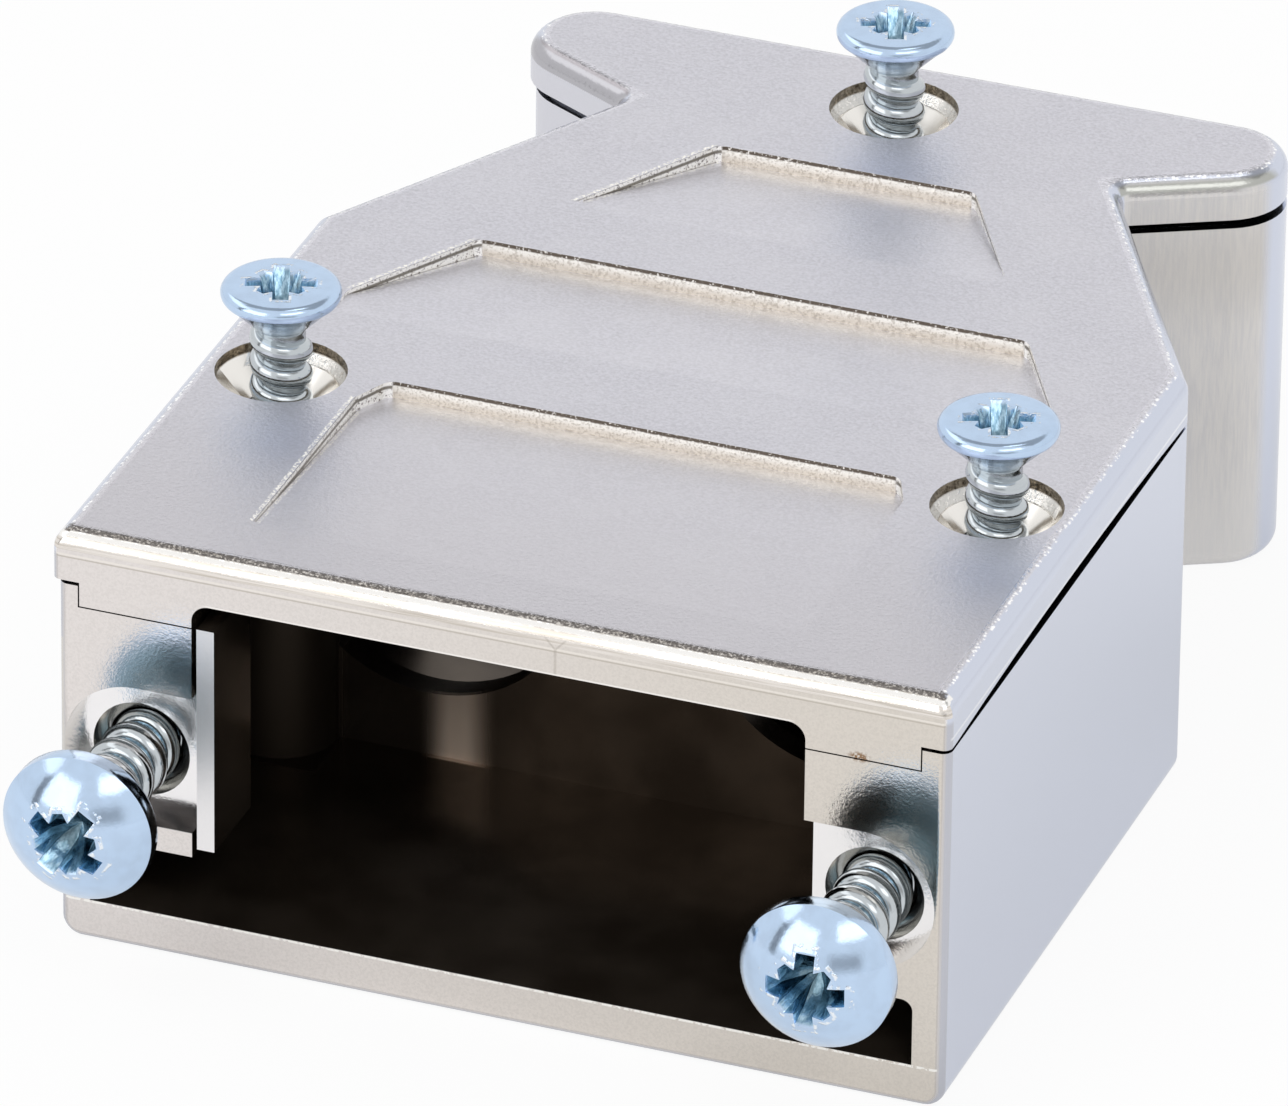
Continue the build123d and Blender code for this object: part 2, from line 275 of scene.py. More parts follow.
class HoodFinishSettings(bpy.types.PropertyGroup):
    """Colours of the plated castings."""

    satin: bpy.props.FloatVectorProperty(
        name="Satin top",
        description="Fine-blasted nickel on the cover's top",
        default=linear(230, 229, 237),
        subtype="COLOR",
        size=3,
    )
    # The side walls' cool blue tint is a painted reflection of the surroundings
    flank: bpy.props.FloatVectorProperty(
        name="Smooth side",
        description="Cool smooth nickel on the side walls",
        default=linear(213, 218, 232),
        subtype="COLOR",
        size=3,
    )
    ear: bpy.props.FloatVectorProperty(
        name="Brushed ear",
        description="Warm brushed nickel on the near faces of the ears",
        default=linear(222, 219, 216),
        subtype="COLOR",
        size=3,
    )
    # The inside's dark brown is painted shade
    inside: bpy.props.FloatVectorProperty(
        name="Inside",
        description="Brown mirror plating inside the shell",
        default=linear(94, 84, 74),
        subtype="COLOR",
        size=3,
    )


class ScrewSettings(bpy.types.PropertyGroup):
    """Sizes and colour of the two kinds of screw."""

    zinc: bpy.props.FloatVectorProperty(
        name="Zinc plating",
        description="Pale blue bright zinc",
        default=linear(197, 219, 245),
        subtype="COLOR",
        size=3,
    )
    cover_thread: bpy.props.FloatProperty(
        name="Cover screw thread",
        description="Outer diameter of the cover screws' thread",
        default=2.09 * MM,
        unit="LENGTH",
    )
    cover_pitch: bpy.props.FloatProperty(
        name="Cover screw pitch",
        description="Distance between turns on the cover screws",
        default=0.9 * MM,
        unit="LENGTH",
    )
    connector_thread: bpy.props.FloatProperty(
        name="Connector screw thread",
        description="Outer diameter of the connector screws' thread",
        default=2.49 * MM,
        unit="LENGTH",
    )
    connector_pitch: bpy.props.FloatProperty(
        name="Connector screw pitch",
        description="Distance between turns on the connector screws",
        default=1.1 * MM,
        unit="LENGTH",
    )


class StudioSettings(bpy.types.PropertyGroup):
    """Camera and lights."""

    lens: bpy.props.FloatProperty(
        name="Focal length",
        description="Camera's focal length, for a sensor 36 mm wide",
        default=457.6,
        unit="CAMERA",
    )
    daylight: bpy.props.FloatProperty(
        name="Daylight",
        description="Strength of the even light from all round",
        default=0.8,
    )


# Tones of the nickel on the connector face and on the rounded edges beside it, with painted reflection,
# shade and highlights among them
# Painted reflection: the connector face is brighter to the left than to the right
FRONT_LEFT = linear(233, 227, 224)
FRONT_RIGHT = linear(223, 216, 207)
FRONT_SPECK = linear(150, 144, 138)
FRONT_SET_BACK = (0.97, 0.96, 0.97)
# Painted shade on the connector face's rounded edges
FRONT_EDGE_SHADE = linear(176, 172, 172)
# Painted highlights along the mouth's lower and upper edges and on a line above the mouth, beside a thin
# darker line
LIP_EDGE_HIGHLIGHT = linear(255, 253, 248)
MOUTH_TOP_HIGHLIGHT = linear(254, 250, 246)
FRONT_DARK_LINE = linear(188, 180, 168)
FRONT_LINE_HIGHLIGHT = linear(246, 240, 232)
FLOW_MARK = linear(166, 158, 148)
STAIN = linear(150, 120, 92)

# Tones of the ears' near faces and of the satin top
BRUSHED_LINE = linear(212, 210, 210)
BRUSHED_FOOT = linear(236, 234, 232)
BRUSHED_BAND = linear(188, 182, 174)
LEFT_EAR = linear(218, 218, 225)
SATIN_LOW = linear(216, 215, 222)
SATIN_CLOUD = linear(233, 232, 238)
SATIN_PIT = linear(196, 194, 201)
SATIN_NEAR_FRONT = linear(213, 210, 214)

# Tones of the cover's rims, its ramps, its gap and its countersinks, many of them painted highlights,
# reflections and shade
RIM_GROOVE = linear(206, 198, 188)
RIM_RIDGE = linear(236, 230, 224)
# Painted dark reflection along the top of the front rim
RIM_DARK_REFLECTION = linear(112, 107, 104)
# Painted highlight on the front rim
RIM_HIGHLIGHT = linear(255, 253, 250)
# Painted shade on the ears' rims, and a painted shadow line on the left one
RIGHT_EAR_RIM_SHADE = linear(184, 185, 180)
LEFT_EAR_RIM_SHADE = linear(184, 183, 188)
LEFT_EAR_SHADOW_LINE = linear(172, 168, 172)
# Painted highlight fading down the ramps' walls, with flutes, under a painted shade line
WALL_HIGHLIGHT = linear(255, 252, 240)
WALL_LOWER = linear(228, 219, 202)
WALL_FLUTE = linear(164, 152, 134)
WALL_SHADE_LINE = linear(104, 95, 84)
# Painted glitter and a painted shade line on the ramps' slanted walls
GLITTER_DARK = linear(150, 144, 138)
GLITTER_BRIGHT = linear(255, 253, 248)
GLITTER_SHADE_LINE = linear(132, 127, 118)
# Painted shade line along the ramps' edges, and painted glints beside them
RAMP_EDGE_SHADE = linear(136, 130, 122)
RAMP_GLINT = linear(255, 252, 244)
# Painted glints on the side rims
GLINT = (0.99, 0.99, 0.99)
# Painted shade: the parting gap painted black
GAP_SHADE_BLACK = (0.012, 0.011, 0.01)
# Painted glints on nicks below the gap
NICK_GLINT = (0.98, 0.98, 0.97)
# Painted highlight over the parting gap
OVER_GAP_HIGHLIGHT = (0.95, 0.96, 0.98)
COUNTERSINK = linear(245, 242, 237)
RING_DARK = linear(84, 74, 60)
RING_PALE = linear(176, 164, 146)

# Tones inside the shell: painted shade inside and on the side posts, and a painted reflection as a pale band
# on the rib
# Painted shade inside the shell
INSIDE_SHADE_DARK = linear(70, 61, 52)
# Painted shade: the side posts darker still
SIDE_POSTS_SHADE = linear(62, 54, 46)
# Painted reflection: the rib's pale band of light
RIB_LIGHT_BAND = linear(240, 218, 198)
LUG_WALL = linear(216, 212, 206)
SILL_DARK = linear(96, 88, 84)
SILL_PALE = linear(140, 130, 124)

# Tones of the screws
SHANK = linear(198, 204, 208)
ZINC_PATCH = linear(182, 200, 224)
FLUTE_DARK = linear(112, 148, 170)
FLUTE_PALE = linear(180, 210, 230)
# Painted shade down in the cross recess
RECESS_SHADE = linear(84, 106, 114)
# Painted highlights on the burrs round the recess
BURR_HIGHLIGHT = (0.95, 0.98, 1.0)


def flank_inset(side, y):
    """Distance in millimetres to the tapered flank, seen from above."""
    return (HALF_WIDTH - side - (y - SHOULDER_Y) * tan(TAPER_ANGLE)) * cos(TAPER_ANGLE)


def outline_inset(shader, side, y):
    """Distances in millimetres, seen from above: to the sides and back alone, and to any edge."""
    to_side = (HALF_WIDTH - side) + FAR_AWAY * shader.step(y, SHOULDER_Y + 2, SHOULDER_Y + 4)
    to_flank = flank_inset(side, y)
    to_ear = (y - NOTCH_Y) * cos(EAR_ANGLE) - (side - NOTCH_X) * sin(EAR_ANGLE)
    seen = shader.node("ShaderNodeCombineXYZ", None, {0: side, 1: y})
    to_tip = EAR_TIP_RADIUS - shader.distance(seen, EAR_TIP_PLACE)
    outward = side - EAR_TIP_PLACE[0]
    beyond = outward * cos(EAR_ANGLE) + (y - EAR_TIP_PLACE[1]) * sin(EAR_ANGLE)
    beyond = shader.step(beyond.least(outward), 0.0, 0.02)
    to_wall = to_side.least(to_flank.most(to_ear)).least(BACK_Y - y)
    to_wall = to_wall.least(to_tip + FAR_AWAY * (1 - beyond))
    return to_wall, to_wall.least(y - FRONT_Y)


class NickelPlating(Shader):
    """Finish of the two castings: satin on top, polished along the edges, with painted shade inside and
    painted highlights, reflections and shade on the rims, ramps, gap and connector face.
    """

    def __init__(self, settings):
        super().__init__(bpy.data.materials.new("satin_and_polished_nickel"))
        self.settings = settings
        self.spot, self.x, self.y, self.z = self.place()
        self.nx, ny, self.nz = self.facing()
        self.forward = -ny
        self.side = abs(self.x)
        self.wall_inset, self.inset = outline_inset(self, self.side, self.y)
        self.depth = self.y - FRONT_Y
        self.fall = TOP_Z - self.z
        self.make_textures()
        self.mark_outside()
        self.mark_countersinks()
        self.mark_inside()

    def make_textures(self):
        """Clouds, grain and brush strokes, each at the scale it has on the real metal, and specks for
        painted glints.
        """
        self.cloud = self.noise(self.spot, 0.35, 3.0)
        self.grain = self.noise(self.spot, 8.0, 2.0, 0.6)
        self.mottle = self.noise(self.spot, 5.5, 3.0, 0.7)
        self.speckle = self.noise(self.spot, 11.0, 2.0, 0.6)
        self.streak = self.noise(self.stretched(self.spot, (10.0, 10.0, 0.8)), 1.0, 3.0, 0.6)
        self.groove = self.noise(self.stretched(self.spot, (0.25, 1.0, 14.0)), 1.0, 2.0, 0.6)
        self.glint_specks = self.specks(self.spot, 6.0, 0.5)

    def mark_outside(self):
        """Masks of the top, the front, the ears' near faces, the cover's rims, the ramps' walls, and the
        painted glints on the side rims and beside the ramps.
        """
        depth, fall, inset = self.depth, self.fall, self.inset
        above_ramp_floor = self.fade(fall, RAMP_DEPTH + 0.05, RAMP_DEPTH + 0.1)
        self.top = self.step(self.nz, 0.9, 0.985) * above_ramp_floor
        self.front = self.step(self.forward, 0.75, 0.93)
        self.foremost = self.fade(depth, 0.02, 0.05)
        self.left_side = self.step(-self.x, 5.0, 6.0)
        ear_face = self.step(self.y, NOTCH_Y - 1.0, NOTCH_Y) * self.step(self.forward, 0.3, 0.6)
        self.ear_face = ear_face * (1 - self.top)

        near_edge = self.fade(inset, RIM_RADIUS - 0.02, RIM_RADIUS + 0.02)
        self.rim = near_edge * self.fade(fall, RIM_RADIUS - 0.05, RIM_RADIUS)
        self.front_rim = self.rim * self.fade(depth, RIM_RADIUS, RIM_RADIUS + 0.1)
        self.side_rim = self.rim * (1 - self.front_rim)
        at_ear = self.step(self.y, NOTCH_Y - 0.5, NOTCH_Y) * self.step(self.forward, 0.1, 0.3)
        self.left_ear = at_ear * self.left_side
        self.right_ear = at_ear * (1 - self.left_ear)
        # Painted glints along the side rims
        sparkle = self.side_rim * self.band(self.nz, 0.9, 0.975, 0.015)
        self.sparkle = sparkle * (1 - self.left_ear) * self.glint_specks

        below_top = self.step(fall, 0.0, 0.01) * (1 - self.top)
        self.ramp_wall = self.step(inset, 1.2, 1.4) * above_ramp_floor * below_top
        self.aslant = self.step(abs(self.nx), 0.3, 0.45)
        self.flecked = self.step(self.speckle, 0.34, 0.46)

        slanted = flank_inset(self.side, self.y) - RAMP_INSET
        straight = RAMP_HALF_WIDTH - self.side
        front_ramp_end = RAMPS[0][1]
        past_front_ramp = self.step(self.y, front_ramp_end, front_ramp_end + 0.1)
        self.from_ramp_edge = self.blend(past_front_ramp, straight, slanted)
        beside = sum(self.band(self.y, *ramp, 0.1) for ramp in RAMPS)
        self.beside_ramp = beside * self.top * self.step(-self.x, 0.0, 1.0)
        # Painted glints on the satin beside the ramps' edges
        outer = self.band(self.from_ramp_edge, -0.18, -0.03, 0.02)
        inner = self.band(self.from_ramp_edge, 0.05, 0.18, 0.02)
        self.ramp_glints = self.beside_ramp * (outer + inner * 0.6) * self.step(self.speckle, 0.49, 0.56)

    def countersink(self, node):
        """Mask of an upright cylinder round a cover screw."""
        low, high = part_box(node)
        centre = (low + high) / 2 / MM
        flat = self.stretched(self.spot, (1.0, 1.0, 0.0))
        radial = self.distance(flat, (centre.x, centre.y, 0.0))
        return self.fade(radial, COUNTERSINK_RADIUS + 0.02, COUNTERSINK_RADIUS + 0.06)

    def mark_countersinks(self):
        """Masks of the countersinks, and of the upright ring at the top of each."""
        holes = sum(self.countersink(node) for node in COVER_SCREWS.values())
        self.hole = holes * self.band(self.fall, 0.02, COVER_THICKNESS + 0.5, 0.01)
        self.ring = self.hole * self.fade(self.fall, 0.34, 0.4)

    def mark_inside(self):
        """Masks of the lugs, the shielding rib's end, the inside with its painted shade, the side posts, the
        rib's painted light band, and the painted shade of the castings' parting gap.
        """
        depth, side = self.depth, self.side
        self.lug = (
            self.step(side, OPENING_HALF_WIDTH - 0.05, OPENING_HALF_WIDTH)
            * self.fade(depth, POCKET_DEPTH + 0.4, POCKET_DEPTH + 0.5)
            * self.band(self.z, LUG_UNDERSIDE - 0.06, LUG_TOP, 0.04)
            * self.fade(side, HALF_WIDTH - 0.3, HALF_WIDTH - 0.2)
        )
        self.rib = self.front * self.fade(depth, 0.1, 0.15) * self.step(depth, 0.02, 0.04)
        self.inside = (
            self.step(self.wall_inset, 0.6, 0.7)
            * self.step(depth, 0.02, 0.06)
            * self.step(self.fall, COVER_THICKNESS - 0.4, COVER_THICKNESS - 0.3)
            * self.step(self.z, 0.9, 1.0)
            * (1 - self.lug)
            * (1 - self.hole)
            * (1 - self.rib)
        )
        at_posts = self.step(side, SIDE_POSTS_X, SIDE_POSTS_X + 0.1)
        self.side_posts = self.band(self.y, *SIDE_POSTS_Y, 0.05) * at_posts
        # Painted reflection: a pale band of light on the rib
        light_band = self.band(self.x, *RIB_LIGHT_BAND_X, 0.6) * self.band(self.y, *RIB_LIGHT_BAND_Y, 0.05)
        self.rib_light_band = light_band * (1 - self.step(self.z, 0.0, 6.0) * 0.5)

        # Painted shade: the parting gap is painted black
        hidden = self.step(abs(self.nz), 0.5, 0.7).most(self.step(self.inset, 0.3, 0.4))
        gap_shade = self.band(self.z, PARTING_Z - 0.12, PARTING_Z + 0.33, 0.01)
        gap_shade = gap_shade * self.step(self.inset, 0.09, 0.14) * hidden * (1 - self.lug)
        lower = self.fade(self.z, PARTING_Z + 0.12, PARTING_Z + 0.15)
        closed = self.step(self.y, 13.5, 14.0) * self.left_side * lower
        self.gap_shade = gap_shade * (1 - closed)

    def paint_front(self):
        """Smooth sides with a cool tint that is a painted reflection, and the connector face: painted
        reflection makes it brighter to the left, and painted shade makes it greyer on its rounded edges.
        """
        # Painted reflection: brighter to the left, browner to the right
        polished = self.mix(self.step(self.x, -HALF_WIDTH, HALF_WIDTH), FRONT_LEFT, FRONT_RIGHT)
        polished = self.mix(self.step(self.speckle, 0.35, 0.7) * 0.12, polished, FRONT_SPECK)
        # Painted reflection: the side walls' cool tint
        colour = self.mix(self.front, tuple(self.settings.flank), polished)
        set_back = self.front * self.step(self.depth, 0.02, 0.04)
        colour = self.mix(set_back * 0.8, colour, FRONT_SET_BACK)
        # Painted shade on the connector face's rounded edges
        rounded = self.fade(self.forward, 0.93, 0.99) * self.fade(self.depth, 0.3, 0.36)
        return self.mix(rounded * 0.5 * self.fade(self.z, 14.0, 14.2), colour, FRONT_EDGE_SHADE)

    def paint_ear_faces(self, colour):
        """Upright brush strokes, paler at the foot, with a darker band near the top."""
        brushed = self.mix(self.step(self.streak, 0.3, 0.7), BRUSHED_LINE, tuple(self.settings.ear))
        brushed = self.mix(self.fade(self.z, 0.0, 6.0) * 0.7, brushed, BRUSHED_FOOT)
        brushed = self.mix(self.band(self.z, 10.0, 13.2, 1.5) * 0.35, brushed, BRUSHED_BAND)
        brushed = self.mix(self.left_side, brushed, LEFT_EAR)
        return self.mix(self.ear_face, colour, brushed)

    def paint_top(self, colour):
        """Fine-blasted satin with clouds and pits, darker towards the front."""
        satin = self.mix(self.step(self.grain, 0.3, 0.7), SATIN_LOW, tuple(self.settings.satin))
        satin = self.mix(self.step(self.cloud, 0.35, 0.7) * 0.3, satin, SATIN_CLOUD)
        satin = self.mix(self.step(self.mottle, 0.56, 0.72) * 0.3, satin, SATIN_PIT)
        satin = self.mix(self.fade(self.depth, 1.0, 16.0) * 0.6, satin, SATIN_NEAR_FRONT)
        return self.mix(self.top, colour, satin)

    def paint_rims(self, colour):
        """Cover's rim: grooves, a painted dark reflection and a painted highlight in front, painted shade on
        the ears' rims and painted glints at the sides.
        """
        nz, front_rim, side_rim = self.nz, self.front_rim, self.side_rim
        grooved = self.mix(self.step(self.groove, 0.35, 0.6), RIM_GROOVE, RIM_RIDGE)
        colour = self.mix(front_rim * self.step(self.forward, 0.15, 0.3), colour, grooved)
        # Painted dark reflection: dark specks along the top of the front rim
        dark_reflection_specks = self.band(nz, 0.86, 0.99, 0.008) * self.step(self.speckle, 0.34, 0.54)
        colour = self.mix(front_rim * dark_reflection_specks * 0.9, colour, RIM_DARK_REFLECTION)
        # Painted highlight: a bright band on the front rim
        rim_highlight_band = self.band(nz, 0.6 + self.mottle * 0.12, 0.8 + self.mottle * 0.1, 0.03)
        colour = self.mix(front_rim * rim_highlight_band, colour, RIM_HIGHLIGHT)
        right_ear, left_ear = side_rim * self.right_ear, side_rim * self.left_ear
        # Painted shade on the ears' rims, and a painted shadow line on the left one
        colour = self.mix(right_ear * self.band(nz, 0.4, 0.8, 0.08), colour, RIGHT_EAR_RIM_SHADE)
        colour = self.mix(left_ear, colour, LEFT_EAR_RIM_SHADE)
        colour = self.mix(left_ear * self.band(nz, 0.86, 0.97, 0.03), colour, LEFT_EAR_SHADOW_LINE)
        return self.mix(self.sparkle, colour, GLINT)

    def paint_ramps(self, colour):
        """Ramps' walls: a painted shade line over a painted highlight with flutes, but painted glitter of
        bright and dark flecks where they run aslant; beside the ramps, a painted shade line and painted
        glints.
        """
        fall, speckle = self.fall, self.speckle
        # Painted highlight fading down the wall, under a painted shade line along its top
        wall = self.mix(self.step(fall, 0.16, 0.5), WALL_HIGHLIGHT, WALL_LOWER)
        wall = self.mix(self.step(speckle, 0.5, 0.62) * 0.45, wall, WALL_FLUTE)
        edge_shade_line = self.fade(fall, 0.11, 0.17) * self.step(speckle, 0.3, 0.44)
        wall = self.mix(edge_shade_line, wall, WALL_SHADE_LINE)
        # Painted glitter on slanted walls: bright and dark flecks, with a painted shade line
        glitter = self.mix(self.flecked, GLITTER_DARK, GLITTER_BRIGHT)
        glitter = self.mix(self.band(fall, 0.14, 0.26, 0.03), glitter, GLITTER_SHADE_LINE)
        colour = self.mix(self.ramp_wall, colour, self.mix(self.aslant, wall, glitter))
        # Painted shade line along the ramps' edges, and painted glints beside it
        edge = self.band(self.from_ramp_edge, -0.03, 0.05, 0.01)
        colour = self.mix(self.beside_ramp * edge * 0.6, colour, RAMP_EDGE_SHADE)
        return self.mix(self.ramp_glints, colour, RAMP_GLINT)

    def paint_countersinks(self, colour):
        """Bright cones under a darker mottled upright ring."""
        colour = self.mix(self.hole, colour, COUNTERSINK)
        ring_tone = self.mix(self.step(self.mottle, 0.3, 0.7), RING_DARK, RING_PALE)
        return self.mix(self.ring, colour, ring_tone)

    def paint_inside(self, colour):
        """Painted shade: brown mirror plating behind the connector face, darker on the side posts, with a
        painted light band on the rib; the lugs and their pockets stay bright.
        """
        # Painted shade: the inside is painted dark brown
        shaded_inside = self.mix(self.step(self.cloud, 0.3, 0.7), tuple(self.settings.inside), INSIDE_SHADE_DARK)
        # Painted shade: the side posts darker still
        shaded_inside = self.mix(self.side_posts, shaded_inside, SIDE_POSTS_SHADE)
        # Painted reflection: the rib's pale band of light
        shaded_inside = self.mix(self.rib_light_band, shaded_inside, RIB_LIGHT_BAND)
        colour = self.mix(self.inside, colour, shaded_inside)
        colour = self.mix(self.lug * (1 - self.front), colour, LUG_WALL)
        sill = self.lug * self.step(self.nz, 0.9, 0.985) * (1 - self.foremost)
        sill = sill * self.fade(self.z, LUG_UNDERSIDE + 1.2, LUG_UNDERSIDE + 1.3)
        return self.mix(sill, colour, self.mix(self.mottle, SILL_DARK, SILL_PALE))

    def paint_gap(self, colour):
        """Painted shade: the gap between the castings is painted black, with painted glints on nicks below
        it and a painted highlight over it.
        """
        z = self.z
        # Painted shade: the gap is painted black
        colour = self.mix(self.gap_shade, colour, GAP_SHADE_BLACK)
        # Painted glints on nicks below the gap
        nick_glints = self.ear_face * self.band(z, PARTING_Z - 0.08, PARTING_Z, 0.01)
        nick_glints = nick_glints * self.step(self.mottle, 0.5, 0.56) * (1 - self.left_side)
        colour = self.mix(nick_glints, colour, NICK_GLINT)
        # Painted highlight along the flank over the gap
        gap_top_highlight = self.step(self.side, HALF_WIDTH - 0.05, HALF_WIDTH)
        gap_top_highlight = gap_top_highlight * self.band(z, PARTING_Z + 0.3, PARTING_Z + 0.4, 0.03) * (1 - self.gap_shade)
        return self.mix(gap_top_highlight * 0.6, colour, OVER_GAP_HIGHLIGHT)

    def paint_front_marks(self, colour):
        """Painted highlights on the mouth's lower and upper edges, a thin darker line and a painted
        highlight line above the mouth, a flow mark and a small stain.
        """
        z, mottle = self.z, self.mottle
        # Painted highlight along the mouth's lower edge
        lip_highlight = self.foremost * self.band(z, FLOOR_TOP - 0.09, FLOOR_TOP, 0.01)
        colour = self.mix(lip_highlight * self.step(mottle, 0.4, 0.5), colour, LIP_EDGE_HIGHLIGHT)
        face = self.front * self.foremost
        # Painted highlight along the mouth's upper edge
        mouth_top_highlight = face * self.band(z, PARTING_Z - 0.05, PARTING_Z + 0.06, 0.02)
        mouth_end = OPENING_HALF_WIDTH - 0.6
        mouth_top_highlight = mouth_top_highlight * self.fade(self.side, mouth_end, mouth_end + 0.3)
        colour = self.mix(mouth_top_highlight * 0.8, colour, MOUTH_TOP_HIGHLIGHT)
        # A thin darker line, and a painted highlight line just above it
        colour = self.mix(face * self.band(z, *DARK_LINE_Z, 0.015) * 0.7, colour, FRONT_DARK_LINE)
        colour = self.mix(face * self.band(z, *LINE_HIGHLIGHT_Z, 0.02) * 0.7, colour, FRONT_LINE_HIGHLIGHT)
        flow = abs(abs(self.x - FLOW_X) - 0.9 * (z - FLOW_Z).most(0.0))
        flow = self.fade(flow, 0.02, 0.07) * self.front * self.band(z, 13.2, 14.45, 0.05)
        colour = self.mix(flow * 0.35, colour, FLOW_MARK)
        stain = self.distance(self.stretched(self.spot, (0.5, 1.0, 1.0)), STAIN_PLACE)
        stain = self.fade(stain, 0.08, 0.24) * self.step(self.speckle, 0.35, 0.55)
        return self.mix(stain, colour, STAIN)

    def roughness(self):
        """Satin on top, finely brushed on the ears, nearly a mirror everywhere else."""
        rough = self.blend(self.top, 0.16, 0.38)
        rough = self.blend(self.front, rough, 0.13)
        rough = self.blend(self.rib, rough, 0.4)
        rough = self.blend(self.ear_face, rough, 0.34)
        rough = self.blend(self.rim.most(self.ramp_wall), rough, 0.16)
        return self.blend(self.inside, rough, self.blend(self.side_posts, 0.2, 0.5))

    def metallic(self):
        """Less where glints and glitter are painted on the ramps and side rims, and inside, most of all on
        the rib's painted light band.
        """
        glints_and_glitter = (self.ramp_wall * self.aslant * self.flecked).most(self.ramp_glints).most(self.sparkle)
        return self.blend(self.inside, 1 - glints_and_glitter * 0.65, 0.85 - self.rib_light_band * 0.8)

    def relief(self):
        """Height of the surface's fine relief, from 0 to about 2."""
        mottle = self.mottle
        toothed = (self.front_rim * self.step(self.nz, 0.8, 0.88)).most(self.ramp_wall)
        height = (
            self.top * (self.grain * 0.8 + mottle)
            + toothed * mottle * 1.5
            + self.side_rim * mottle * 0.4
            + self.front * (mottle * 0.2 + self.speckle * 0.1)
            + self.ear_face * self.streak * 0.1
        )
        return height * (1 - self.inside)

    def material(self):
        """Finished material, painted region by region."""
        colour = self.paint_front()
        outside = (self.paint_ear_faces, self.paint_top, self.paint_rims, self.paint_ramps)
        details = (self.paint_countersinks, self.paint_inside, self.paint_gap, self.paint_front_marks)
        for paint in (*outside, *details):
            colour = paint(colour)
        surface = {"Base Color": colour, "Metallic": self.metallic(), "Roughness": self.roughness()}
        return self.finish(surface, self.relief(), 0.02)


def zinc_plated_steel(screws):
    """Bright blue-passivated zinc with small dull patches, painted shade down in the cross recess, and
    painted highlights on raised burrs round it.
    """
    shader = Shader(bpy.data.materials.new(ZINC_FINISH))
    place = shader.place()[0]
    patch = shader.noise(place, 1.6, 3.0)
    grain = shader.noise(place, 9.0, 2.0)
    lumps = shader.noise(place, 4.5, 2.0)
    sunk = shader.node("ShaderNodeAttribute", {"attribute_name": "recess_depth"}, output="Fac")
    head = shader.node("ShaderNodeAttribute", {"attribute_name": "head_top"}, output="Fac")
    seat = shader.node("ShaderNodeAttribute", {"attribute_name": "seat_place"}, output="Vector")
    across, along, _ = shader.parts(seat)
    # Outline of the recess, in spans: below 0 inside it, and above 0 outside
    longer, shorter = abs(across).most(abs(along)), abs(across).least(abs(along))
    lobe = (longer * 0.935 - shorter * 0.355 - 0.443).most((longer + shorter) * 0.7 - 0.8)
    outline = (longer - 1.0).most(shorter - 0.226).least(lobe)
    flutes = shader.noise(shader.stretched(seat, (11.0, 11.0, 0.9)), 1.0, 2.0, 0.6)
    steel = shader.mix(shader.step(patch, 0.35, 0.7) * 0.35, tuple(screws.zinc), ZINC_PATCH)
    colour = shader.mix(head, SHANK, steel)
    # Painted shade down in the cross recess, darkest deepest, with flutes varying its tone
    recess_shade = shader.mix(shader.step(flutes, 0.3, 0.7), FLUTE_DARK, FLUTE_PALE)
    recess_shade = shader.mix(shader.step(sunk, 0.3, 1.3) * 0.7, recess_shade, RECESS_SHADE)
    colour = shader.mix(shader.step(sunk, 0.02, 0.2), colour, recess_shade)
    # Raised burrs round the recess, in the bump, with painted highlights in the colour
    burr_and_highlight = head * shader.band(outline, -0.01, 0.06, 0.02) * shader.step(lumps, 0.5, 0.6)
    colour = shader.mix(burr_and_highlight * 0.85, colour, BURR_HIGHLIGHT)
    rough = shader.blend(grain, 0.08, 0.18)
    height = grain * 0.2 + burr_and_highlight * 1.4 + shader.step(sunk, 0.02, 0.1) * flutes * 0.5
    return shader.finish({"Base Color": colour, "Metallic": 1.0, "Roughness": rough}, height, 0.012)


class HOOD_OT_castings(bpy.types.Operator):
    """Give the two castings their plated finish"""

    bl_idname = "hood.castings"
    bl_label = "Finish the castings"

    def execute(self, context):
        material = NickelPlating(context.scene.hood_finish).material()
        for name in ("base_shell", "cover"):
            slots = nodes[name].material_slots
            if not slots:
                raise RuntimeError(f"{name} has no material slot")
            for slot in slots:
                slot.material = material
        return {"FINISHED"}


def turned(profile, segments):
    """Closed solid from a profile of (radius, height) points, from its top to its bottom on the axis."""
    shape = bmesh.new()
    points = [shape.verts.new((radius, 0.0, height)) for radius, height in profile]
    edges = [shape.edges.new(pair) for pair in zip(points, points[1:])]
    ring = {"axis": (0, 0, 1), "cent": (0, 0, 0), "angle": 2 * pi, "steps": segments}
    bmesh.ops.spin(shape, geom=[*points, *edges], **ring)
    bmesh.ops.remove_doubles(shape, verts=shape.verts, dist=1e-8)
    bmesh.ops.recalc_face_normals(shape, faces=shape.faces)
    return shape


def arc(centre, radius, start, end, count):
    """Points of a circle's arc in the profile's plane, between two angles in degrees."""
    angles = [radians(start + (end - start) * step / count) for step in range(count + 1)]
    return [(centre[0] + radius * cos(a), centre[1] + radius * sin(a)) for a in angles]


def dome(radius, rise, base, count):
    """Profile of a shallow dome of the given rise, from its apex to its edge."""
    sphere = (radius**2 + rise**2) / (2 * rise)
    reach = [radius * step / count for step in range(count + 1)]
    return [(r, base + rise - sphere + (sphere**2 - r**2) ** 0.5) for r in reach]


Recess = namedtuple("Recess", "top depth span wing core lobe")


